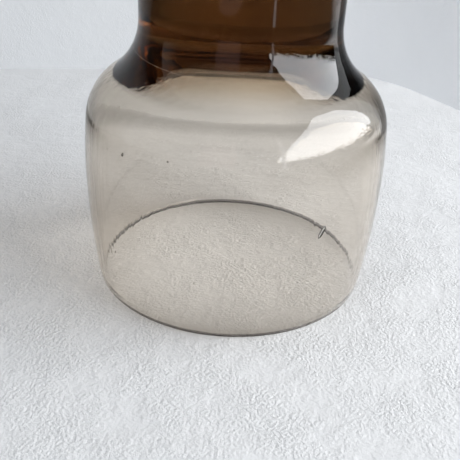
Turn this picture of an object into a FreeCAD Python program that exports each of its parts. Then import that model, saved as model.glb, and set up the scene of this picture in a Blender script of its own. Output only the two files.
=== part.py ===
import FreeCAD, Part
import math
import os
import Sketcher

# Stoppered bell jar: an open-bottomed bell of smoke-brown glass with a wide straight neck, closed by a solid
# stopper of the same glass in a tapered ground joint. Millimetres. The origin is the centre of the level rim
# that the jar stands on, and +Z is up along the axis of the glass. Both pieces are turned about that axis.

SHEET = "Dims"

DIMENSIONS = [
    # the bell's outside
    ("rim_dia", 100.0, "outer diameter of the rim that the jar stands on"),
    ("belly_swell", 2.9, "how far the belly stands out past the rim"),
    ("belly_height", 42.0, "height of the widest ring"),
    ("upper_side_radius", 140.0, "curve of the side above the belly"),
    ("shoulder_radius", 20.0, "outer curve of the shoulder"),
    ("flare_radius", 21.0, "hollow curve between shoulder and neck"),
    ("neck_foot", 92.0, "height where the neck becomes straight"),
    ("neck_wall", 4.8, "wall of the neck at the joint's lower edge"),
    ("neck_top", 118.0, "height of the lip's flat top"),
    ("lip_reach", 5.6, "how far the lip's bead stands out past the neck"),
    ("bead_radius", 4.5, "section radius of the lip's bead"),
    ("bead_blend", 2.0, "rounding under the bead"),
    # the bell's inside
    ("rim_wall", 2.0, "wall at the rim"),
    ("side_wall", 2.5, "wall at the belly"),
    ("inner_shoulder_radius", 15.0, "inner curve of the shoulder"),
    ("inner_flare_radius", 50.0, "hollow curve from the shoulder up to the joint"),
    ("rim_round", 0.6, "fire-polished rounding of the rim's edges"),
    # the ground joint
    ("joint_foot", 77.8, "height of the joint's lower edge"),
    ("joint_dia", 57.2, "bore at the joint's lower edge"),
    ("joint_taper", 0.1, "growth of the bore's diameter for each unit of height"),
    ("joint_clearance", 0.05, "radial gap in the joint"),
    ("joint_edge", 0.8, "rounding of the bore's upper edge"),
    ("joint_rise", 35.0, "slope of the glass on both sides of the joint's lower edge, in degrees"),
    # the stopper
    ("plug_edge", 0.3, "rounding of the plug's lower edge"),
    ("dome_rise_share", 0.117, "height of the domed hollow in the plug's end, to the joint's diameter"),
    ("dome_radius_share", 1.64, "curve across the dome, to the joint's diameter"),
    ("dome_brow_share", 0.3, "curve where the dome turns down, to the joint's diameter"),
    ("head_gap", 1.0, "gap between the lip and the head"),
    ("head_reach", 1.0, "how far the head stands out past the lip"),
    ("head_thickness", 16.0, "thickness of the head"),
    ("head_edge", 5.0, "rounding of the head's edges"),
    ("head_root", 0.6, "rounding where the plug meets the head"),
]

DERIVED = [
    ("rim_radius", "=rim_dia / 2"),
    ("rim_inner_radius", "=rim_radius - rim_wall"),
    ("belly_radius", "=rim_radius + belly_swell"),
    ("belly_inner_radius", "=belly_radius - side_wall"),
    ("upper_inner_radius", "=upper_side_radius - side_wall"),
    ("joint_radius", "=joint_dia / 2"),
    ("neck_radius", "=joint_radius + neck_wall"),
    ("lip_radius", "=neck_radius + lip_reach"),
    ("bead_centre_x", "=lip_radius - bead_radius"),
    ("bead_centre_y", "=neck_top - bead_radius"),
    ("joint_top_radius", "=joint_radius + joint_taper / 2 * (neck_top - joint_foot)"),
    ("inner_flare_top", "=joint_foot + inner_flare_radius * cos(joint_rise)"),
    ("dome_heading", "=180 - joint_rise"),
    ("dome_top", "=joint_foot + dome_rise_share * joint_dia"),
    ("dome_radius", "=dome_radius_share * joint_dia"),
    ("dome_brow_radius", "=dome_brow_share * joint_dia"),
    ("plug_radius", "=joint_radius - joint_clearance"),
    ("head_foot", "=neck_top + head_gap"),
    ("plug_top_radius", "=plug_radius + joint_taper / 2 * (head_foot - joint_foot)"),
    ("head_radius", "=lip_radius + head_reach"),
    ("head_top", "=head_foot + head_thickness"),
]

START = 1
END = 2
CENTRE = 3
ORIGIN = -1
VERTICAL_AXIS = -2
FULL_TURN = 360.0
SAME_EDGE = 1e-4


def fill_sheet(document):
    """Write the sizes into a sheet and return them all by name."""
    sheet = document.addObject("Spreadsheet::Sheet", SHEET)
    cells = [(name, str(value), note) for name, value, note in DIMENSIONS]
    cells += [(name, formula, "worked out") for name, formula in DERIVED]
    for row, (name, content, note) in enumerate(cells, start=1):
        sheet.set(f"A{row}", note)
        sheet.set(f"B{row}", content)
        sheet.setAlias(f"B{row}", name)
    document.recompute()
    return {name: float(sheet.get(name)) for name, content, note in cells}


def direction(start, end):
    return math.atan2(end[1] - start[1], end[0] - start[0])


def polar(centre, radius, angle):
    return (centre[0] + radius * math.cos(angle), centre[1] + radius * math.sin(angle))


class Profile:
    """A sketch in the body's XZ plane. Its edges start near their places, and the sheet then holds them."""

    def __init__(self, body, name):
        self.sketch = body.newObject("Sketcher::SketchObject", name)
        plane = next(item for item in body.Origin.OriginFeatures if item.Role == "XZ_Plane")
        self.sketch.AttachmentSupport = (plane, "")
        self.sketch.MapMode = "FlatFace"

    def line(self, start, end):
        edge = Part.LineSegment(FreeCAD.Vector(*start, 0), FreeCAD.Vector(*end, 0))
        return self.sketch.addGeometry(edge, False)

    def arc(self, centre, radius, first, last):
        circle = Part.Circle(FreeCAD.Vector(*centre, 0), FreeCAD.Vector(0, 0, 1), radius)
        return self.sketch.addGeometry(Part.ArcOfCircle(circle, first, last), False)

    def join(self, first, first_end, second, second_end, kind="Coincident"):
        self.sketch.addConstraint(Sketcher.Constraint(kind, first, first_end, second, second_end))

    def keep(self, kind, edge):
        self.sketch.addConstraint(Sketcher.Constraint(kind, edge))

    def hold(self, kind, size_name, *where):
        """Hold a radius, or a point's distance from the origin along X or Y, to one cell of the sheet."""
        constraint = Sketcher.Constraint(kind, *where, size[size_name])
        index = self.sketch.addConstraint(constraint)
        label = f"{size_name}_{index}"
        self.sketch.renameConstraint(index, label)
        self.sketch.setExpression(f"Constraints.{label}", f"{SHEET}.{size_name}")

    def hold_x(self, edge, point, size_name):
        self.hold("DistanceX", size_name, ORIGIN, START, edge, point)

    def hold_y(self, edge, point, size_name):
        self.hold("DistanceY", size_name, ORIGIN, START, edge, point)

    def hold_radius(self, edge, size_name):
        self.hold("Radius", size_name, edge)

    def hold_heading(self, edge, size_name):
        """Hold a line's direction to one cell, which is in degrees."""
        heading = Sketcher.Constraint("Angle", edge, math.radians(size[size_name]))
        index = self.sketch.addConstraint(heading)
        self.sketch.renameConstraint(index, size_name)
        self.sketch.setExpression(f"Constraints.{size_name}", f"{SHEET}.{size_name} * 1 deg")


def shoulder_centre(side_centre, side_radius, radius, flare_centre, flare_radius):
    """Centre of the arc that lies inside the side's circle and outside the flare's, touching both."""
    to_side = side_radius - radius
    to_flare = radius + flare_radius
    gap = math.dist(side_centre, flare_centre)
    along = (to_side ** 2 - to_flare ** 2 + gap ** 2) / (2 * gap)
    across = math.sqrt(to_side ** 2 - along ** 2)
    line = direction(side_centre, flare_centre)
    return polar(polar(side_centre, along, line), across, line - math.pi / 2)


def draw_wall(profile, foot, belly, upper, shoulder, flare, neck, neck_height, flare_height):
    """Draw one face of the bell's wall, from the rim up to the neck. Every argument is a size's name."""
    belly_point = (size[belly], size["belly_height"])
    foot_point = (size[foot], 0.0)
    swell = belly_point[0] - foot_point[0]
    lower_radius = (belly_point[1] ** 2 + swell ** 2) / (2 * swell)
    lower_centre = (belly_point[0] - lower_radius, belly_point[1])
    upper_centre = (belly_point[0] - size[upper], belly_point[1])
    flare_lift = size[flare_height] - size[neck_height]
    flare_centre = (size[neck] + math.sqrt(size[flare] ** 2 - flare_lift ** 2), size[flare_height])
    centre = shoulder_centre(upper_centre, size[upper], size[shoulder], flare_centre, size[flare])
    bend = direction(upper_centre, centre)
    turn = direction(centre, flare_centre)
    flare_start = math.pi + math.asin(flare_lift / size[flare])

    lower_arc = profile.arc(lower_centre, lower_radius, direction(lower_centre, foot_point), 0.0)
    upper_arc = profile.arc(upper_centre, size[upper], 0.0, bend)
    shoulder_arc = profile.arc(centre, size[shoulder], bend, turn)
    flare_arc = profile.arc(flare_centre, size[flare], flare_start, turn + math.pi)
    profile.join(lower_arc, END, upper_arc, START, "Tangent")
    profile.join(upper_arc, END, shoulder_arc, START, "Tangent")
    profile.join(shoulder_arc, END, flare_arc, END, "Tangent")
    profile.hold_x(lower_arc, START, foot)
    profile.hold_x(lower_arc, END, belly)
    profile.hold_y(lower_arc, END, "belly_height")
    profile.hold_y(lower_arc, CENTRE, "belly_height")
    profile.hold_radius(upper_arc, upper)
    profile.hold_radius(shoulder_arc, shoulder)
    profile.hold_radius(flare_arc, flare)
    profile.hold_x(flare_arc, START, neck)
    profile.hold_y(flare_arc, START, neck_height)
    profile.hold_y(flare_arc, CENTRE, flare_height)
    return lower_arc, flare_arc


def revolve(body, profile, name):
    turned = body.newObject("PartDesign::Revolution", name)
    turned.Profile = profile.sketch
    turned.ReferenceAxis = (profile.sketch, ["V_Axis"])
    turned.Angle = FULL_TURN
    doc.recompute()
    return turned


def round_rings(body, base, name, rings, size_name):
    """Fillet the circular edges of the base that have one of the (height, radius) pairs."""
    names = []
    for number, edge in enumerate(base.Shape.Edges, start=1):
        if edge.Degenerated or not isinstance(edge.Curve, Part.Circle):
            continue
        for height, radius in rings:
            level = abs(edge.Curve.Center.z - height) < SAME_EDGE
            if level and abs(edge.Curve.Radius - radius) < SAME_EDGE:
                names.append(f"Edge{number}")
    if len(names) != len(rings):
        raise RuntimeError(f"{name}: found {len(names)} edges for {len(rings)} rings")
    fillet = body.newObject("PartDesign::Fillet", name)
    fillet.Base = (base, names)
    fillet.setExpression("Radius", f"{SHEET}.{size_name}")
    doc.recompute()
    return fillet


def make_bell():
    body = doc.addObject("PartDesign::Body", "Bell")
    body.Label = "bell_jar"
    profile = Profile(body, "BellWall")
    outer_foot, outer_flare = draw_wall(
        profile, "rim_radius", "belly_radius", "upper_side_radius", "shoulder_radius",
        "flare_radius", "neck_radius", "neck_foot", "neck_foot")
    inner_foot, inner_flare = draw_wall(
        profile, "rim_inner_radius", "belly_inner_radius", "upper_inner_radius", "inner_shoulder_radius",
        "inner_flare_radius", "joint_radius", "joint_foot", "inner_flare_top")

    bead_centre = (size["bead_centre_x"], size["bead_centre_y"])
    bead_inset = size["neck_radius"] - bead_centre[0]
    bead_start = -math.acos(bead_inset / size["bead_radius"])
    bead_foot = polar(bead_centre, size["bead_radius"], bead_start)
    bead_top = (bead_centre[0], size["neck_top"])
    bore_top = (size["joint_top_radius"], size["neck_top"])
    rim = profile.line((size["rim_inner_radius"], 0.0), (size["rim_radius"], 0.0))
    neck = profile.line((size["neck_radius"], size["neck_foot"]), bead_foot)
    bead = profile.arc(bead_centre, size["bead_radius"], bead_start, math.pi / 2)
    top = profile.line(bead_top, bore_top)
    bore = profile.line(bore_top, (size["joint_radius"], size["joint_foot"]))

    profile.join(inner_foot, START, rim, START)
    profile.join(rim, END, outer_foot, START)
    profile.keep("Horizontal", rim)
    profile.sketch.addConstraint(Sketcher.Constraint("PointOnObject", outer_foot, START, ORIGIN))
    profile.join(outer_flare, START, neck, START)
    profile.keep("Vertical", neck)
    profile.join(neck, END, bead, START)
    profile.join(bead, END, top, START)
    profile.keep("Horizontal", top)
    profile.hold_radius(bead, "bead_radius")
    profile.hold_x(bead, CENTRE, "bead_centre_x")
    profile.hold_y(bead, CENTRE, "bead_centre_y")
    profile.hold_x(top, START, "bead_centre_x")
    profile.hold_x(top, END, "joint_top_radius")
    profile.join(top, END, bore, START)
    profile.join(bore, END, inner_flare, START)
    wall = revolve(body, profile, "BellTurned")

    foot_rings = [(0.0, size["rim_radius"]), (0.0, size["rim_inner_radius"])]
    polished = round_rings(body, wall, "RimPolished", foot_rings, "rim_round")
    blended = round_rings(body, polished, "BeadBlended", [(bead_foot[1], size["neck_radius"])], "bead_blend")
    bore_ring = [(size["neck_top"], size["joint_top_radius"])]
    round_rings(body, blended, "JointMouth", bore_ring, "joint_edge")
    return body


def draw_dome(profile):
    """Draw the hollow of the plug's end, from the plug's lower edge up to the axis."""
    edge = (size["plug_radius"], size["joint_foot"])
    rise = math.radians(size["joint_rise"])
    brow_radius = size["dome_brow_radius"]
    reach = size["dome_radius"] - brow_radius
    top_centre = (0.0, size["dome_top"] - size["dome_radius"])
    drop = (edge[1] - top_centre[1]) * math.cos(rise) + edge[0] * math.sin(rise) - brow_radius
    lean = rise - math.acos(drop / reach)
    brow_centre = polar(top_centre, reach, math.pi / 2 - lean)
    slope_end = polar(brow_centre, brow_radius, math.pi / 2 - rise)

    slope = profile.line(edge, slope_end)
    brow = profile.arc(brow_centre, brow_radius, math.pi / 2 - rise, math.pi / 2 - lean)
    top = profile.arc(top_centre, size["dome_radius"], math.pi / 2 - lean, math.pi / 2)
    profile.join(slope, END, brow, START, "Tangent")
    profile.join(brow, END, top, START, "Tangent")
    profile.hold_heading(slope, "dome_heading")
    profile.hold_radius(brow, "dome_brow_radius")
    profile.hold_radius(top, "dome_radius")
    profile.hold_y(top, END, "dome_top")
    for point in (CENTRE, END):
        profile.sketch.addConstraint(Sketcher.Constraint("PointOnObject", top, point, VERTICAL_AXIS))
    return slope, top


def make_stopper():
    body = doc.addObject("PartDesign::Body", "Plug")
    body.Label = "stopper"
    profile = Profile(body, "StopperHalf")
    slope, dome = draw_dome(profile)
    places = [
        ("plug_radius", "joint_foot"),
        ("plug_top_radius", "head_foot"),
        ("head_radius", "head_foot"),
        ("head_radius", "head_top"),
    ]
    corners = [(size[across], size[up]) for across, up in places]
    corners.append((0.0, size["head_top"]))
    sides = [profile.line(start, end) for start, end in zip(corners, corners[1:])]
    axis = profile.line(corners[-1], (0.0, size["dome_top"]))
    for edge, following in zip(sides, sides[1:] + [axis]):
        profile.join(edge, END, following, START)
    for edge, (across, up) in zip(sides, places):
        profile.hold_x(edge, START, across)
        profile.hold_y(edge, START, up)
    profile.join(sides[0], START, slope, START)
    profile.sketch.addConstraint(Sketcher.Constraint("PointOnObject", axis, START, VERTICAL_AXIS))
    profile.keep("Horizontal", sides[-1])
    profile.join(axis, END, dome, END)
    solid = revolve(body, profile, "StopperTurned")

    foot_ring = [(size["joint_foot"], size["plug_radius"])]
    eased = round_rings(body, solid, "PlugEased", foot_ring, "plug_edge")
    rooted = round_rings(body, eased, "HeadRoot", [(size["head_foot"], size["plug_top_radius"])], "head_root")
    head_rings = [(size["head_foot"], size["head_radius"]), (size["head_top"], size["head_radius"])]
    round_rings(body, rooted, "HeadRounded", head_rings, "head_edge")
    return body


def check_objects(bodies):
    for item in doc.Objects:
        if "Invalid" in item.State or "Error" in item.State:
            raise RuntimeError(f"{item.Name} failed: {item.State}")
        if item.TypeId == "Sketcher::SketchObject" and not item.FullyConstrained:
            raise RuntimeError(f"{item.Name} isn't fully held by its constraints")
    for body in bodies:
        if body.Shape.isNull() or not body.Shape.isValid():
            raise RuntimeError(f"{body.Label} has no valid shape")


doc = FreeCAD.newDocument("bell_jar")
size = fill_sheet(doc)
bodies = [make_bell(), make_stopper()]
doc.recompute()
check_objects(bodies)
os.makedirs("parts", exist_ok=True)
for body in bodies:
    body.Shape.exportStep(f"parts/{body.Label}.step")
    box = body.Shape.optimalBoundingBox()
    print(f"{body.Label}: {len(body.Shape.Solids)} solid, {body.Shape.Volume / 1000:.2f} cm3, "
          f"radius {box.XMax:.2f}, height {box.ZMin:.2f} to {box.ZMax:.2f}")
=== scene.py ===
import bmesh
import bpy
import math
from mathutils import Euler, Matrix, Vector


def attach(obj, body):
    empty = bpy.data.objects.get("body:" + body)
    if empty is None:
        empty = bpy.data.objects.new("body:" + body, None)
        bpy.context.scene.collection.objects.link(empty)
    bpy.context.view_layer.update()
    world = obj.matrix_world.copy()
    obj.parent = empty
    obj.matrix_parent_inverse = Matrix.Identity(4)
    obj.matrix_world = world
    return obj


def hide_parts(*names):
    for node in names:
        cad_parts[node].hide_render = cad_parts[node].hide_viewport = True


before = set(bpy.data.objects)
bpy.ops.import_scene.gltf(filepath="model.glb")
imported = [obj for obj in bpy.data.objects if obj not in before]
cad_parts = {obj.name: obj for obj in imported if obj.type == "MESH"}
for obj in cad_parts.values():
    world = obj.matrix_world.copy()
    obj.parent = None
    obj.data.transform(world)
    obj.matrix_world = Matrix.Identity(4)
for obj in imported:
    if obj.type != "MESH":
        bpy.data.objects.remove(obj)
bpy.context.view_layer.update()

mm = 0.001
around = 256       # steps round the axis of a turned piece
sharpFrom = 28     # degrees between two faces, from which their edge is drawn sharp


def heading(start, end):
    # the direction from one point to another, in radians
    return math.atan2(end[1] - start[1], end[0] - start[0])


def onCircle(centre, radius, angle):
    return (centre[0] + radius * math.cos(angle), centre[1] + radius * math.sin(angle))


class Outline:
    # half a turned piece, drawn in the XZ plane in millimetres and then spun round Z
    def __init__(self, start):
        self.mesh = bmesh.new()
        self.tip = self.mesh.verts.new(self.place(start))

    def place(self, point):
        return Vector((point[0] * mm, 0, point[1] * mm))

    def lineTo(self, end):
        grown = bmesh.ops.extrude_vert_indiv(self.mesh, verts=[self.tip])
        self.tip = grown["verts"][0]
        self.tip.co = self.place(end)

    def arc(self, centre, turn, steps):
        # the turn is in radians, and more than 0 is anticlockwise with X to the right and Z up
        swept = bmesh.ops.spin(
            self.mesh, geom=[self.tip], cent=self.place(centre), axis=(0, -1, 0), dvec=(0, 0, 0),
            angle=turn, steps=steps, use_merge=False, use_duplicate=False)
        self.tip = [item for item in swept["geom_last"] if isinstance(item, bmesh.types.BMVert)][0]

    def spun(self):
        bmesh.ops.spin(
            self.mesh, geom=self.mesh.verts[:] + self.mesh.edges[:], cent=(0, 0, 0), axis=(0, 0, 1),
            dvec=(0, 0, 0), angle=math.tau, steps=around, use_merge=True, use_duplicate=False)
        bmesh.ops.remove_doubles(self.mesh, verts=self.mesh.verts[:], dist=0.001 * mm)
        bmesh.ops.recalc_face_normals(self.mesh, faces=self.mesh.faces[:])
        return self.mesh


def finished(mesh, name):
    for face in mesh.faces:
        face.smooth = True
    data = bpy.data.meshes.new(name)
    mesh.to_mesh(data)
    mesh.free()
    data.set_sharp_from_angle(angle=math.radians(sharpFrom))
    piece = bpy.data.objects.new(name, data)
    bpy.context.collection.objects.link(piece)
    return piece


# the tapered joint that both pieces share: millimetres, with the bore and its taper on the radius
joint = {
    "foot": 77.8, "bore": 28.6, "taper": 0.05, "clearance": 0.01,
    "rise": math.radians(35),    # slope of the glass on both sides of the joint's lower edge
}


def boreRadius(height):
    return joint["bore"] + joint["taper"] * (height - joint["foot"])


# millimetres, and the number of steps along each curve of the outline
bell = {
    "rimRadius": 50.0, "rimWall": 2.0, "rimRound": 0.6, "bellyRadius": 52.9, "bellyHeight": 42.0,
    "sideWall": 2.5, "upperSide": 140.0, "shoulder": 20.0, "flare": 21.0, "neckFoot": 92.0,
    "neckRadius": 33.4, "innerShoulder": 15.0, "innerFlare": 50.0, "neckTop": 118.0,
    "lipRadius": 39.0, "bead": 4.5, "beadBlend": 2.0, "mouthRound": 0.8,
}
bellSteps = {
    "rimOut": 6, "side": 16, "upperSide": 14, "shoulder": 42, "flare": 44, "beadBlend": 12, "bead": 30,
    "mouth": 6, "innerFlare": 22, "rimIn": 5,
}
seedLean = -28             # degrees that a bubble leans out of upright
seedSegments = (14, 10)    # round a bubble, and along it
# bubbles caught in the glass: degrees from the front, height, length and width in millimetres
seeds = [
    (32.4, 37.8, 4.6, 1.5), (-40.8, 58.0, 1.3, 0.8), (-68.0, 53.4, 0.9, 0.6), (-47.0, 21.8, 1.1, 0.5),
    (-22.0, 60.0, 0.7, 0.6), (-12.0, 21.0, 0.5, 0.35), (61.0, 33.0, 0.6, 0.4), (140.0, 48.0, 0.9, 0.5),
    (-150.0, 30.0, 0.8, 0.4), (95.0, 18.0, 0.5, 0.4), (-100.0, 40.0, 1.2, 0.45), (178.0, 12.0, 0.5, 0.4),
]


def wallFace(foot, belly, upper, shoulder, flare, flareCentre):
    # circle centres and angles for one face of the wall: two side curves, the shoulder and the flare
    height = bell["bellyHeight"]
    swell = belly - foot
    lower = (height ** 2 + swell ** 2) / (2 * swell)
    upperCentre = (belly - upper, height)
    toSide = upper - shoulder
    toFlare = shoulder + flare
    gap = math.dist(upperCentre, flareCentre)
    along = (toSide ** 2 - toFlare ** 2 + gap ** 2) / (2 * gap)
    across = math.sqrt(toSide ** 2 - along ** 2)
    line = heading(upperCentre, flareCentre)
    shoulderCentre = onCircle(onCircle(upperCentre, along, line), across, line - math.pi / 2)
    return {
        "lower": lower, "lowerCentre": (belly - lower, height), "upperCentre": upperCentre,
        "shoulderCentre": shoulderCentre, "bend": heading(upperCentre, shoulderCentre),
        "turn": heading(shoulderCentre, flareCentre),
        "start": math.asin((bell["rimRound"] - height) / lower),
    }


def makeBell():
    rise = joint["rise"]
    flareOut = (bell["neckRadius"] + bell["flare"], bell["neckFoot"])
    flareIn = onCircle((joint["bore"], joint["foot"]), bell["innerFlare"], math.pi / 2 - rise)
    rimIn = bell["rimRadius"] - bell["rimWall"]
    outer = wallFace(
        bell["rimRadius"], bell["bellyRadius"], bell["upperSide"], bell["shoulder"], bell["flare"], flareOut)
    inner = wallFace(
        rimIn, bell["bellyRadius"] - bell["sideWall"], bell["upperSide"] - bell["sideWall"],
        bell["innerShoulder"], bell["innerFlare"], flareIn)
    soft = bell["rimRound"]
    trim = 0.0005    # radians left off the side's lower arc, where it meets the rim's rounding
    steps = bellSteps

    half = Outline((rimIn + soft, 0))
    half.lineTo((bell["rimRadius"] - soft, 0))
    half.arc((bell["rimRadius"] - soft, soft), math.pi / 2, steps["rimOut"])
    half.lineTo(onCircle(outer["lowerCentre"], outer["lower"], outer["start"] + trim))
    half.arc(outer["lowerCentre"], -outer["start"] - trim, steps["side"])
    half.arc(outer["upperCentre"], outer["bend"], steps["upperSide"])
    half.arc(outer["shoulderCentre"], outer["turn"] - outer["bend"], steps["shoulder"])
    half.arc(flareOut, -outer["turn"], steps["flare"])

    # the neck, the blend under the lip, the lip's bead, and the mouth
    beadCentre = (bell["lipRadius"] - bell["bead"], bell["neckTop"] - bell["bead"])
    blendAcross = bell["neckRadius"] + bell["beadBlend"] - beadCentre[0]
    blendDown = math.sqrt((bell["bead"] + bell["beadBlend"]) ** 2 - blendAcross ** 2)
    blendCentre = (beadCentre[0] + blendAcross, beadCentre[1] - blendDown)
    lean = heading(blendCentre, beadCentre)
    half.lineTo((bell["neckRadius"], blendCentre[1]))
    half.arc(blendCentre, lean - math.pi, steps["beadBlend"])
    half.arc(beadCentre, math.pi / 2 - (lean - math.pi), steps["bead"])
    mouthFoot = bell["neckTop"] - bell["mouthRound"]
    mouthCentre = (boreRadius(mouthFoot) + bell["mouthRound"], mouthFoot)
    half.lineTo((mouthCentre[0], bell["neckTop"]))
    half.arc(mouthCentre, math.pi / 2, steps["mouth"])

    # down the bore and the inner face, back to the rim
    half.lineTo((joint["bore"], joint["foot"]))
    half.arc(flareIn, inner["turn"] + rise - math.pi / 2, steps["innerFlare"])
    half.arc(inner["shoulderCentre"], inner["bend"] - inner["turn"], steps["shoulder"])
    half.arc(inner["upperCentre"], -inner["bend"], steps["upperSide"])
    half.arc(inner["lowerCentre"], inner["start"] + trim, steps["side"])
    half.lineTo((rimIn, soft))
    half.arc((rimIn + soft, soft), math.pi / 2, steps["rimIn"])
    mesh = half.spun()

    # the bubbles are small hollows in the middle of the wall, so their faces look inwards
    for turn, height, length, width in seeds:
        side = outer["lower"] if height < bell["bellyHeight"] else bell["upperSide"]
        drop = side - math.sqrt(side ** 2 - (height - bell["bellyHeight"]) ** 2)
        radius = bell["bellyRadius"] - drop - bell["sideWall"] * 0.5
        azimuth = math.radians(turn) - math.pi / 2
        right, back = onCircle((0, 0), radius, azimuth)
        place = Matrix.Translation((right * mm, back * mm, height * mm))
        shape = Matrix.Diagonal((width * mm / 2, width * mm / 2, length * mm / 2, 1))
        lie = Euler((math.radians(seedLean), 0, azimuth)).to_matrix().to_4x4()
        made = bmesh.ops.create_uvsphere(
            mesh, u_segments=seedSegments[0], v_segments=seedSegments[1], radius=1,
            matrix=place @ lie @ shape)
        bubble = {face for vert in made["verts"] for face in vert.link_faces}
        bmesh.ops.reverse_faces(mesh, faces=list(bubble))
    return finished(mesh, "bellGlass")


bellGlass = makeBell()
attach(bellGlass, "bell")
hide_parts("bell_jar")
print("bell made")

jointDiameter = joint["bore"] * 2
plug = {
    "domeTop": joint["foot"] + 0.117 * jointDiameter, "dome": 1.64 * jointDiameter,
    "brow": 0.3 * jointDiameter,
    "headFoot": 119.0, "headRadius": 40.0, "headTop": 135.0, "headRound": 5.0, "root": 0.6,
}
plugSteps = {"dome": 24, "brow": 20, "root": 5, "head": 14}


def makeStopper():
    rise = joint["rise"]
    foot = joint["foot"]
    edge = boreRadius(foot) - joint["clearance"]
    domeCentre = (0.0, plug["domeTop"] - plug["dome"])
    reach = plug["dome"] - plug["brow"]
    drop = (foot - domeCentre[1]) * math.cos(rise) + edge * math.sin(rise) - plug["brow"]
    lean = rise - math.acos(drop / reach)
    browCentre = onCircle(domeCentre, reach, math.pi / 2 - lean)
    headFoot, headTop = plug["headFoot"], plug["headTop"]
    headRound = plug["headRound"]
    rim = plug["headRadius"] - headRound
    root = boreRadius(headFoot) - joint["clearance"]

    half = Outline((0, plug["domeTop"]))
    half.arc(domeCentre, -lean, plugSteps["dome"])
    half.arc(browCentre, lean - rise, plugSteps["brow"])
    half.lineTo((edge, foot))
    half.lineTo((root, headFoot - plug["root"]))
    half.arc((root + plug["root"], headFoot - plug["root"]), -math.pi / 2, plugSteps["root"])
    half.lineTo((rim, headFoot))
    half.arc((rim, headFoot + headRound), math.pi / 2, plugSteps["head"])
    half.lineTo((plug["headRadius"], headTop - headRound))
    half.arc((rim, headTop - headRound), math.pi / 2, plugSteps["head"])
    half.lineTo((0, headTop))
    return finished(half.spun(), "stopperGlass")


stopperGlass = makeStopper()
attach(stopperGlass, "stopper")
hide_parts("stopper")
print("stopper made")


def addNode(tree, kind, **settings):
    made = tree.nodes.new(kind)
    for key, value in settings.items():
        setattr(made, key, value)
    return made


def wire(tree, *pairs):
    for source, target in pairs:
        tree.links.new(source, target)


def maths(tree, operation, first, second=None, clamp=False):
    made = addNode(tree, "ShaderNodeMath", operation=operation, use_clamp=clamp)
    for slot, value in enumerate((first, second)):
        if value is None:
            continue
        if isinstance(value, (int, float)):
            made.inputs[slot].default_value = value
        else:
            tree.links.new(value, made.inputs[slot])
    return made.outputs[0]


def noise(tree, place, scale, detail=2.0, stretch=(1, 1, 1)):
    mapping = addNode(tree, "ShaderNodeMapping")
    mapping.inputs["Scale"].default_value = stretch
    made = addNode(tree, "ShaderNodeTexNoise")
    made.inputs["Scale"].default_value = scale
    made.inputs["Detail"].default_value = detail
    wire(tree, (place, mapping.inputs["Vector"]), (mapping.outputs[0], made.inputs["Vector"]))
    return made.outputs["Fac"]


def ramp(tree, value, low, high, start=0.0, end=1.0):
    made = addNode(tree, "ShaderNodeMapRange")
    made.inputs["From Min"].default_value = low
    made.inputs["From Max"].default_value = high
    made.inputs["To Min"].default_value = start
    made.inputs["To Max"].default_value = end
    tree.links.new(value, made.inputs["Value"])
    return made.outputs[0]


def blend(tree, factor, first, second):
    made = addNode(tree, "ShaderNodeMix", data_type="RGBA")
    for value, socket in ((factor, made.inputs[0]), (first, made.inputs[6]), (second, made.inputs[7])):
        if isinstance(value, (int, float, tuple)):
            socket.default_value = value
        else:
            tree.links.new(value, socket)
    return made.outputs[2]


# what hand work leaves in clear glass: slow ripples, drawn cords of glass, and faint finger marks
blown = {
    "rippleScale": 28.0, "cordScale": 420.0, "cordStretch": (1, 1, 0.02),
    "markScale": 75.0, "markFrom": 0.60, "markTo": 0.82, "markRoughness": 0.035,
    "clean": (1.0, 1.0, 1.0, 1.0), "marked": (0.965, 0.965, 0.96, 1.0),
}


def makeHandBlown():
    group = bpy.data.node_groups.new("handBlown", "ShaderNodeTree")
    for name in ("Ripple", "Cords", "Marks"):
        socket = group.interface.new_socket(name, in_out="INPUT", socket_type="NodeSocketFloat")
        socket.default_value = 1.0
    group.interface.new_socket("Height", in_out="OUTPUT", socket_type="NodeSocketFloat")
    group.interface.new_socket("Tint", in_out="OUTPUT", socket_type="NodeSocketColor")
    group.interface.new_socket("Roughness", in_out="OUTPUT", socket_type="NodeSocketFloat")
    given = addNode(group, "NodeGroupInput")
    result = addNode(group, "NodeGroupOutput")
    place = addNode(group, "ShaderNodeTexCoord").outputs["Object"]
    slow = noise(group, place, blown["rippleScale"], 1.0)
    slow = maths(group, "MULTIPLY", slow, given.outputs["Ripple"])
    cords = noise(group, place, blown["cordScale"], 2.0, blown["cordStretch"])
    cords = maths(group, "MULTIPLY", cords, given.outputs["Cords"])
    height = maths(group, "ADD", slow, cords)
    smudge = ramp(group, noise(group, place, blown["markScale"], 5.0), blown["markFrom"], blown["markTo"])
    smudge = maths(group, "MULTIPLY", smudge, given.outputs["Marks"], clamp=True)
    roughness = maths(group, "MULTIPLY", smudge, blown["markRoughness"])
    tint = blend(group, smudge, blown["clean"], blown["marked"])
    wire(group, (height, result.inputs["Height"]), (tint, result.inputs["Tint"]),
         (roughness, result.inputs["Roughness"]))
    return group


handBlown = makeHandBlown()
smoke = {
    "colour": (0.615, 0.46, 0.24, 1.0), "density": 100.0, "ior": 1.5, "relief": 0.12 * mm,
    # painted shade along the edge that the bell stands on, in place of the dark line its rounded glass and
    # its contact shadow give: its tint, its height in millimetres and how far it fades
    "rim": (0.16, 0.15, 0.15, 1.0), "rimShadeHeight": 0.9, "rimShadeFade": 1.3,
    # the shadow is darker where light meets the wall edge-on
    "shadow": (0.12, 0.12, 0.13, 1.0), "shadowFrom": 0.16, "shadowTo": 0.9,
}


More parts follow.
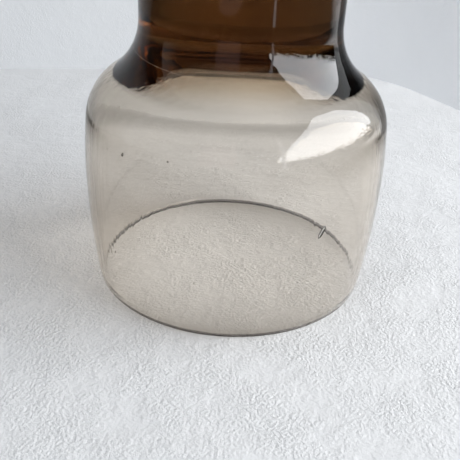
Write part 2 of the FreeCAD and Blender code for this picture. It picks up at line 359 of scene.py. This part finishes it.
def makeSmokeGlass(name, ripple, cords, marks, jointMask, rim=0.0):
    material = bpy.data.materials.new(name)
    material.use_nodes = True
    tree = material.node_tree
    tree.nodes.clear()
    output = addNode(tree, "ShaderNodeOutputMaterial")
    surface = addNode(tree, "ShaderNodeBsdfPrincipled")
    surface.inputs["Metallic"].default_value = 0.0
    surface.inputs["IOR"].default_value = smoke["ior"]
    surface.inputs["Transmission Weight"].default_value = 1.0
    made = addNode(tree, "ShaderNodeGroup", node_tree=handBlown)
    for key, value in (("Ripple", ripple), ("Cords", cords), ("Marks", marks)):
        made.inputs[key].default_value = value
    bump = addNode(tree, "ShaderNodeBump")
    bump.inputs["Distance"].default_value = smoke["relief"]
    bump.inputs["Strength"].default_value = 1.0
    tint = made.outputs["Tint"]
    # painted shade: the glass darkens towards the foot of the rim
    if rim:
        height = radiusAndHeight(tree)[1]
        tint = blend(tree, ramp(tree, height, rim * smoke["rimShadeFade"], rim), tint, smoke["rim"])
    wire(tree, (tint, surface.inputs["Base Color"]), (made.outputs["Roughness"], surface.inputs["Roughness"]),
         (made.outputs["Height"], bump.inputs["Height"]), (bump.outputs[0], surface.inputs["Normal"]))

    # light for the floor goes straight through, and the glass's own colour and its edges dim it
    rays = addNode(tree, "ShaderNodeLightPath")
    straight = maths(tree, "MAXIMUM", rays.outputs["Is Shadow Ray"], rays.outputs["Is Diffuse Ray"])
    straight = maths(tree, "MAXIMUM", straight, jointMask(tree))
    clear = addNode(tree, "ShaderNodeBsdfTransparent")
    edgeOn = addNode(tree, "ShaderNodeLayerWeight")
    edgeOn.inputs["Blend"].default_value = 0.5
    lost = ramp(tree, edgeOn.outputs["Facing"], smoke["shadowFrom"], smoke["shadowTo"])
    lost = maths(tree, "MULTIPLY", lost, rays.outputs["Is Shadow Ray"])
    wire(tree, (blend(tree, lost, (1.0, 1.0, 1.0, 1.0), smoke["shadow"]), clear.inputs["Color"]))
    mixed = addNode(tree, "ShaderNodeMixShader")
    wire(tree, (straight, mixed.inputs[0]), (surface.outputs[0], mixed.inputs[1]),
         (clear.outputs[0], mixed.inputs[2]), (mixed.outputs[0], output.inputs["Surface"]))
    body = addNode(tree, "ShaderNodeVolumeAbsorption")
    body.inputs["Color"].default_value = smoke["colour"]
    body.inputs["Density"].default_value = smoke["density"]
    wire(tree, (body.outputs[0], output.inputs["Volume"]))
    return material


def radiusAndHeight(tree):
    place = addNode(tree, "ShaderNodeTexCoord").outputs["Object"]
    apart = addNode(tree, "ShaderNodeSeparateXYZ")
    wire(tree, (place, apart.inputs[0]))
    square = maths(tree, "ADD", maths(tree, "POWER", apart.outputs["X"], 2.0),
                   maths(tree, "POWER", apart.outputs["Y"], 2.0))
    return maths(tree, "SQRT", square), apart.outputs["Z"]


def bore(tree, height, allowance):
    # the bore's radius at a height, with millimetres added to it
    foot = (joint["bore"] + allowance - joint["taper"] * joint["foot"]) * mm
    return maths(tree, "ADD", maths(tree, "MULTIPLY", height, joint["taper"]), foot)


# grease between the ground faces: how far it hides them, and in millimetres how far from the bore a face
# still counts as ground, and how much is left clear above the lower edge
grease = {"hides": 0.97, "boreReach": 0.1, "plugReach": -0.04, "edge": 0.001}


def boreMask(tree):
    radius, height = radiusAndHeight(tree)
    near = maths(tree, "LESS_THAN", radius, bore(tree, height, grease["boreReach"]))
    above = maths(tree, "GREATER_THAN", height, (joint["foot"] + grease["edge"]) * mm)
    return maths(tree, "MULTIPLY", maths(tree, "MULTIPLY", near, above), grease["hides"])


def plugMask(tree):
    radius, height = radiusAndHeight(tree)
    near = maths(tree, "GREATER_THAN", radius, bore(tree, height, grease["plugReach"]))
    below = maths(tree, "LESS_THAN", height, (plug["headFoot"] - plug["root"]) * mm)
    return maths(tree, "MULTIPLY", maths(tree, "MULTIPLY", near, below), grease["hides"])


bellSmoke = makeSmokeGlass(
    "bellSmoke", ripple=1.0, cords=0.25, marks=1.0, jointMask=boreMask, rim=smoke["rimShadeHeight"] * mm)
stopperSmoke = makeSmokeGlass("stopperSmoke", ripple=1.0, cords=0.2, marks=0.6, jointMask=plugMask)
bellGlass.data.materials.append(bellSmoke)
stopperGlass.data.materials.append(stopperSmoke)
print("glass materials made")

# floor and wall, in metres
room = {
    "reach": 3.0, "wallHeight": 2.2, "floorRelief": 0.75, "wallRelief": 0.3,
    "wallFar": (-1.6, -0.05), "corner": (0.094, 0.298), "wallNear": (0.185, 0.125),
    "cornerRound": 0.07, "cornerSteps": 14,
    # painted shade: the wall left of the corner faces the window and is lit too brightly, so its colour is
    # made deeper and it glows less
    "wallPaintedShade": (0.625, 0.65, 0.68, 1.0), "paintedShadeTo": -0.02, "plainFrom": 0.11,
    "wallGlow": 0.18, "glowShare": 0.55, "glowColour": (0.95, 0.97, 1.0, 1.0),
    # how polished faces see the floor: dark beyond these distances, up to these places towards the wall
    "dark": (0.04, 0.04, 0.042, 1.0), "darkFrom": 0.17, "darkTo": 0.26, "lightFrom": 0.28, "lightTo": 0.16,
}
# white plaster: each scale is for a noise, and each height is a share of the relief's depth
plasterLook = {
    "light": (0.80, 0.825, 0.86, 1.0), "dim": (0.76, 0.785, 0.82, 1.0), "cloudScale": 9.0,
    "roughness": 0.8, "specular": 0.3, "depth": 1.8 * mm,
    "patchScale": 48.0, "grainScale": 980.0, "grainLeast": 0.14, "grainMost": 0.56,
    "lumpScale": 260.0, "lumpHeight": 0.13,
    "strokeScale": 34.0, "strokeStretch": (0.3, 1, 1), "strokeHeight": 0.42,
}


def makePlaster(name, relief, glow=0.0, paintedShade=None):
    material = bpy.data.materials.new(name)
    material.use_nodes = True
    tree = material.node_tree
    surface = tree.nodes["Principled BSDF"]
    look = plasterLook
    surface.inputs["Roughness"].default_value = look["roughness"]
    surface.inputs["Specular IOR Level"].default_value = look["specular"]
    place = addNode(tree, "ShaderNodeTexCoord").outputs["Object"]
    apart = addNode(tree, "ShaderNodeSeparateXYZ")
    wire(tree, (place, apart.inputs[0]))
    clouds = ramp(tree, noise(tree, place, look["cloudScale"], 6.0), 0.35, 0.65)
    colour = blend(tree, clouds, look["dim"], look["light"])
    side = ramp(tree, apart.outputs["X"], room["paintedShadeTo"], room["plainFrom"])
    # painted shade: left of the corner, the wall's colour is blended to the deeper one
    if paintedShade:
        colour = blend(tree, side, paintedShade, colour)
    wire(tree, (colour, surface.inputs["Base Color"]))

    # sand grain in patches, lumps left by the float, and the float's long strokes
    patches = noise(tree, place, look["patchScale"], 3.0)
    patches = ramp(tree, patches, 0.38, 0.62, look["grainLeast"], look["grainMost"])
    grain = maths(tree, "MULTIPLY", noise(tree, place, look["grainScale"], 4.0), patches)
    lumps = ramp(tree, noise(tree, place, look["lumpScale"], 4.0), 0.45, 0.75)
    lumps = maths(tree, "MULTIPLY", lumps, look["lumpHeight"])
    strokes = noise(tree, place, look["strokeScale"], 4.0, look["strokeStretch"])
    strokes = maths(tree, "MULTIPLY", ramp(tree, strokes, 0.45, 0.70), look["strokeHeight"])
    height = maths(tree, "ADD", maths(tree, "ADD", grain, lumps), strokes)
    bump = addNode(tree, "ShaderNodeBump")
    bump.inputs["Distance"].default_value = look["depth"]
    bump.inputs["Strength"].default_value = relief
    wire(tree, (height, bump.inputs["Height"]), (bump.outputs[0], surface.inputs["Normal"]))

    # the walls glow a little to the eye, so that they read as white without more light on the glass
    rays = addNode(tree, "ShaderNodeLightPath")
    surface.inputs["Emission Color"].default_value = room["glowColour"]
    seen = maths(tree, "MAXIMUM", rays.outputs["Is Camera Ray"], rays.outputs["Is Transmission Ray"])
    seen = maths(tree, "MULTIPLY", maths(tree, "MAXIMUM", seen, rays.outputs["Is Glossy Ray"]), glow)
    # painted shade: the wall glows less left of the corner
    seen = maths(tree, "MULTIPLY", seen, ramp(tree, side, 0.0, 1.0, room["glowShare"], 1.0))
    wire(tree, (seen, surface.inputs["Emission Strength"]))

    # polished faces see the floor in front and at the sides as dark, as in a room lit from one side
    away = addNode(tree, "ShaderNodeVectorMath", operation="LENGTH")
    shade = addNode(tree, "ShaderNodeBsdfDiffuse")
    shade.inputs["Color"].default_value = room["dark"]
    mixed = addNode(tree, "ShaderNodeMixShader")
    wire(tree, (place, away.inputs[0]))
    dark = ramp(tree, away.outputs["Value"], room["darkFrom"], room["darkTo"])
    dark = maths(tree, "MULTIPLY", dark, ramp(tree, apart.outputs["Y"], room["lightFrom"], room["lightTo"]))
    wire(tree, (maths(tree, "MULTIPLY", dark, rays.outputs["Is Glossy Ray"]), mixed.inputs[0]),
         (surface.outputs[0], mixed.inputs[1]), (shade.outputs[0], mixed.inputs[2]))

    # seen from behind, a wall is not there, so it never hides the glass
    facing = addNode(tree, "ShaderNodeNewGeometry")
    nothing = addNode(tree, "ShaderNodeBsdfTransparent")
    oneSided = addNode(tree, "ShaderNodeMixShader")
    wire(tree, (facing.outputs["Backfacing"], oneSided.inputs[0]), (mixed.outputs[0], oneSided.inputs[1]),
         (nothing.outputs[0], oneSided.inputs[2]),
         (oneSided.outputs[0], tree.nodes["Material Output"].inputs["Surface"]))
    return material


def panel(name, corners, material):
    mesh = bmesh.new()
    mesh.faces.new([mesh.verts.new(corner) for corner in corners])
    bmesh.ops.recalc_face_normals(mesh, faces=mesh.faces[:])
    made = finished(mesh, name)
    made.data.materials.append(material)
    return made


reach = room["reach"]
panel("floor", [(-reach, -reach, 0), (reach, -reach, 0), (reach, reach, 0), (-reach, reach, 0)],
      makePlaster("plaster", room["floorRelief"]))


def makeWall(path, height):
    # one sheet that stands on its path, with its upright corner rounded off
    mesh = bmesh.new()
    feet = [mesh.verts.new((*point, 0)) for point in path]
    base = [mesh.edges.new(pair) for pair in zip(feet, feet[1:])]
    raised = bmesh.ops.extrude_edge_only(mesh, edges=base)["geom"]
    tops = [item for item in raised if isinstance(item, bmesh.types.BMVert)]
    bmesh.ops.translate(mesh, verts=tops, vec=(0, 0, height))
    corner = [edge for edge in mesh.edges if len(edge.link_faces) == 2]
    bmesh.ops.bevel(
        mesh, geom=corner, offset=room["cornerRound"], offset_type="OFFSET", segments=room["cornerSteps"],
        profile=0.5, affect="EDGES", material=-1)
    mesh.normal_update()
    if mesh.faces[:][0].normal.y > 0:
        bmesh.ops.reverse_faces(mesh, faces=mesh.faces[:])
    wall = finished(mesh, "wall")
    wall.data.materials.append(
        makePlaster("wallPlaster", room["wallRelief"], room["wallGlow"], room["wallPaintedShade"]))
    wall.visible_shadow = wall.visible_diffuse = False


makeWall([room["wallFar"], room["corner"], room["wallNear"]], room["wallHeight"])
print("room made")

# one window at the right, in metres
light = {
    "windowPlace": (1.0, -0.15, 0.62), "windowAim": (0, 0, 0.05), "windowSize": (1.3, 1.0),
    "windowPower": 20.4, "windowColour": (1.0, 0.985, 0.96),
    # the window as polished faces show it: its corners in Y and Z, and the height of the roofs outside
    "gleam": 6.4, "gleamColour": (0.94, 0.965, 1.0, 1.0), "gleamAt": 1.0,
    "gleamCorners": [
        (-1.75, -0.05), (-1.65, 0.40), (-1.07, 0.84), (0.06, 1.38), (0.46, 1.08), (0.55, 0.55),
        (0.58, -0.05)],
    "skyline": 0.14, "ragged": 0.13, "raggedScale": 22.0,
    # two dim upright strips of the room, each from one foot to the other
    "stripHeight": 0.4,
    "frameFeet": ((0.255, -0.40), (0.275, -0.385)), "frame": 1.6, "frameColour": (0.9, 0.92, 1.0, 1.0),
    "roomFeet": ((-0.20, -0.45), (0.01, -0.5)), "room": 0.38, "roomColour": (1.0, 0.78, 0.80, 1.0),
}


def areaLamp(name, place, target, size, power, colour):
    data = bpy.data.lights.new(name, "AREA")
    data.shape = "RECTANGLE"
    data.size, data.size_y = size
    data.energy = power
    data.color = colour
    lamp = bpy.data.objects.new(name, data)
    bpy.context.collection.objects.link(lamp)
    aim = (Vector(target) - Vector(place)).to_track_quat("-Z", "Y")
    lamp.matrix_world = Matrix.Translation(place) @ aim.to_matrix().to_4x4()
    return lamp


window = areaLamp("window", light["windowPlace"], light["windowAim"], light["windowSize"],
                  light["windowPower"], light["windowColour"])
window.visible_glossy = False
window.visible_transmission = False
window.visible_camera = False


def makeGlow(name, corners, strength, colour, skyline=0.0, ragged=0.0):
    # a card that only polished faces show, dark below the skyline
    material = bpy.data.materials.new(name)
    material.use_nodes = True
    tree = material.node_tree
    tree.nodes.clear()
    output = addNode(tree, "ShaderNodeOutputMaterial")
    glow = addNode(tree, "ShaderNodeEmission")
    place = addNode(tree, "ShaderNodeTexCoord").outputs["Object"]
    apart = addNode(tree, "ShaderNodeSeparateXYZ")
    edge = noise(tree, place, light["raggedScale"], 14.0)
    edge = ramp(tree, edge, 0.40, 0.62, skyline, skyline + ragged)
    lit = maths(tree, "GREATER_THAN", maths(tree, "SUBTRACT", apart.outputs["Z"], edge), 0.0)
    glow.inputs["Color"].default_value = colour
    wire(tree, (place, apart.inputs[0]), (maths(tree, "MULTIPLY", lit, strength), glow.inputs["Strength"]),
         (glow.outputs[0], output.inputs["Surface"]))
    card = panel(name, corners, material)
    card.visible_diffuse = card.visible_camera = card.visible_shadow = card.visible_volume_scatter = False


def upright(feet):
    first, last = feet
    top = light["stripHeight"]
    return [(*first, 0), (*last, 0), (*last, top), (*first, top)]


makeGlow("windowGleam", [(light["gleamAt"], *corner) for corner in light["gleamCorners"]], light["gleam"],
         light["gleamColour"], light["skyline"], light["ragged"])
makeGlow("frameStrip", upright(light["frameFeet"]), light["frame"], light["frameColour"])
makeGlow("roomStrip", upright(light["roomFeet"]), light["room"], light["roomColour"])

# the world: strengths, each with its tint
sky = {
    "front": 0.05, "frontTint": (0.86, 0.92, 1.0), "back": 0.80, "backTint": (0.93, 0.97, 1.0),
    "fill": 0.41, "fillTint": (0.96, 0.98, 1.0), "seen": (0.72, 0.745, 0.78, 1.0), "turnOver": 0.35,
}


def skyColour(part):
    return (*(sky[part] * share for share in sky[part + "Tint"]), 1.0)


def makeSky():
    world = bpy.data.worlds.new("studio")
    bpy.context.scene.world = world
    world.use_nodes = True
    tree = world.node_tree
    tree.nodes.clear()
    output = addNode(tree, "ShaderNodeOutputWorld")
    # the room is dark on the near side, which the polished glass shows, and the fill light is even
    place = addNode(tree, "ShaderNodeTexCoord").outputs["Generated"]
    apart = addNode(tree, "ShaderNodeSeparateXYZ")
    wire(tree, (place, apart.inputs[0]))
    side = ramp(tree, apart.outputs["Y"], -sky["turnOver"], sky["turnOver"])
    seen = blend(tree, side, skyColour("front"), skyColour("back"))
    rays = addNode(tree, "ShaderNodeLightPath")
    polished = maths(tree, "MAXIMUM", rays.outputs["Is Glossy Ray"], rays.outputs["Is Transmission Ray"])
    backdrop = addNode(tree, "ShaderNodeBackground")
    lighting = blend(tree, polished, skyColour("fill"), seen)
    colour = blend(tree, rays.outputs["Is Camera Ray"], lighting, sky["seen"])
    wire(tree, (colour, backdrop.inputs["Color"]), (backdrop.outputs[0], output.inputs["Surface"]))


makeSky()
print("lights made")

# the camera's place in metres, its angles in degrees and its lens in millimetres
view = {
    "place": (0.0, -0.22194, 0.13571), "down": 29.03, "turn": 0.091, "roll": 2.75,
    "lens": 51.65, "sensor": 36.0, "nearest": 0.01,
}
cameraData = bpy.data.cameras.new("camera")
cameraData.lens = view["lens"]
cameraData.sensor_width = view["sensor"]
cameraData.clip_start = view["nearest"]
camera = bpy.data.objects.new("camera", cameraData)
bpy.context.collection.objects.link(camera)
camera.matrix_world = (
    Matrix.Translation(view["place"]) @ Matrix.Rotation(math.radians(view["turn"]), 4, "Z")
    @ Matrix.Rotation(math.radians(90 - view["down"]), 4, "X")
    @ Matrix.Rotation(math.radians(view["roll"]), 4, "Z"))
bpy.context.scene.camera = camera
bpy.context.scene.view_settings.view_transform = "Standard"
print("camera made")
